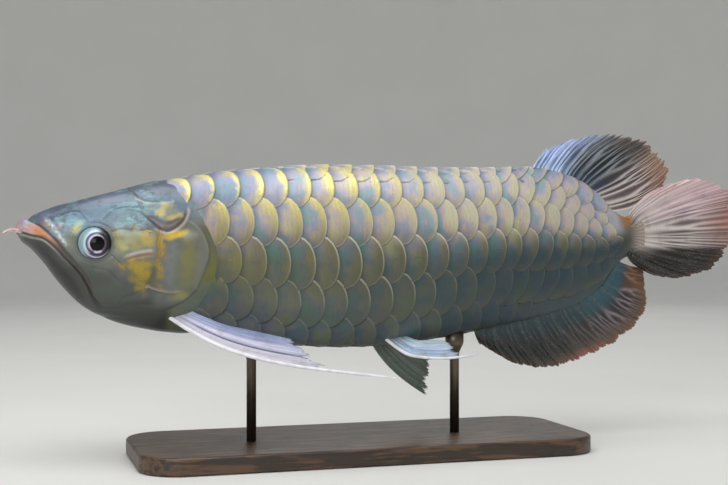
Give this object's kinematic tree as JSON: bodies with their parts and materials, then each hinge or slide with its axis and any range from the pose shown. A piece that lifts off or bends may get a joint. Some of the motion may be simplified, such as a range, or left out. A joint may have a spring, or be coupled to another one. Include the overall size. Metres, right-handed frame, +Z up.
{
  "type": "asian arowana fish model on a display stand",
  "caption": "Life-size still model of an asian arowana swimming with spread fins, held by two rods on a flat base.",
  "frame": {"origin": "centre of the underside of the stand's base", "axes": "+Z up, the snout points to -X and the fish's left side to -Y"},
  "size_m": [0.5037, 0.1193, 0.2099],
  "materials": {
    "head_skin": "wet satin skin, blue-grey with gold patches",
    "scales": "pearly blue-silver scales with gold rims",
    "lip": "soft pink-orange skin",
    "eye": "clear wet cornea over a dark pupil and pale iris",
    "dark_fin": "slate-green membrane with purple-brown rays",
    "red_fin": "pinkish-brown membrane with cream rays",
    "pale_fin": "pale lavender-white membrane",
    "stand_wood": "dark stained, satin",
    "stand_metal": "satin black"
  },
  "bodies": {
    "root": {"head": "head_skin", "jaw_lower": "head_skin", "upper_jaw_left": "head_skin", "upper_jaw_right": "head_skin", "gill_cover_left": "head_skin", "gill_cover_right": "head_skin", "eye_left": "eye", "eye_right": "eye", "barbel_left": "lip", "barbel_right": "lip", "trunk_front": "scales", "trunk_rear": "scales", "tail_root": "scales", "dorsal_fin": "dark_fin", "anal_fin": "dark_fin", "caudal_fin": "red_fin", "pectoral_fin_left": "pale_fin", "pectoral_fin_right": "pale_fin", "pelvic_fin_left": "pale_fin", "pelvic_fin_right": "pale_fin", "stand_base": "stand_wood", "stand_rod_front": "stand_metal", "stand_rod_rear": "stand_metal"}
  },
  "joints": []
}
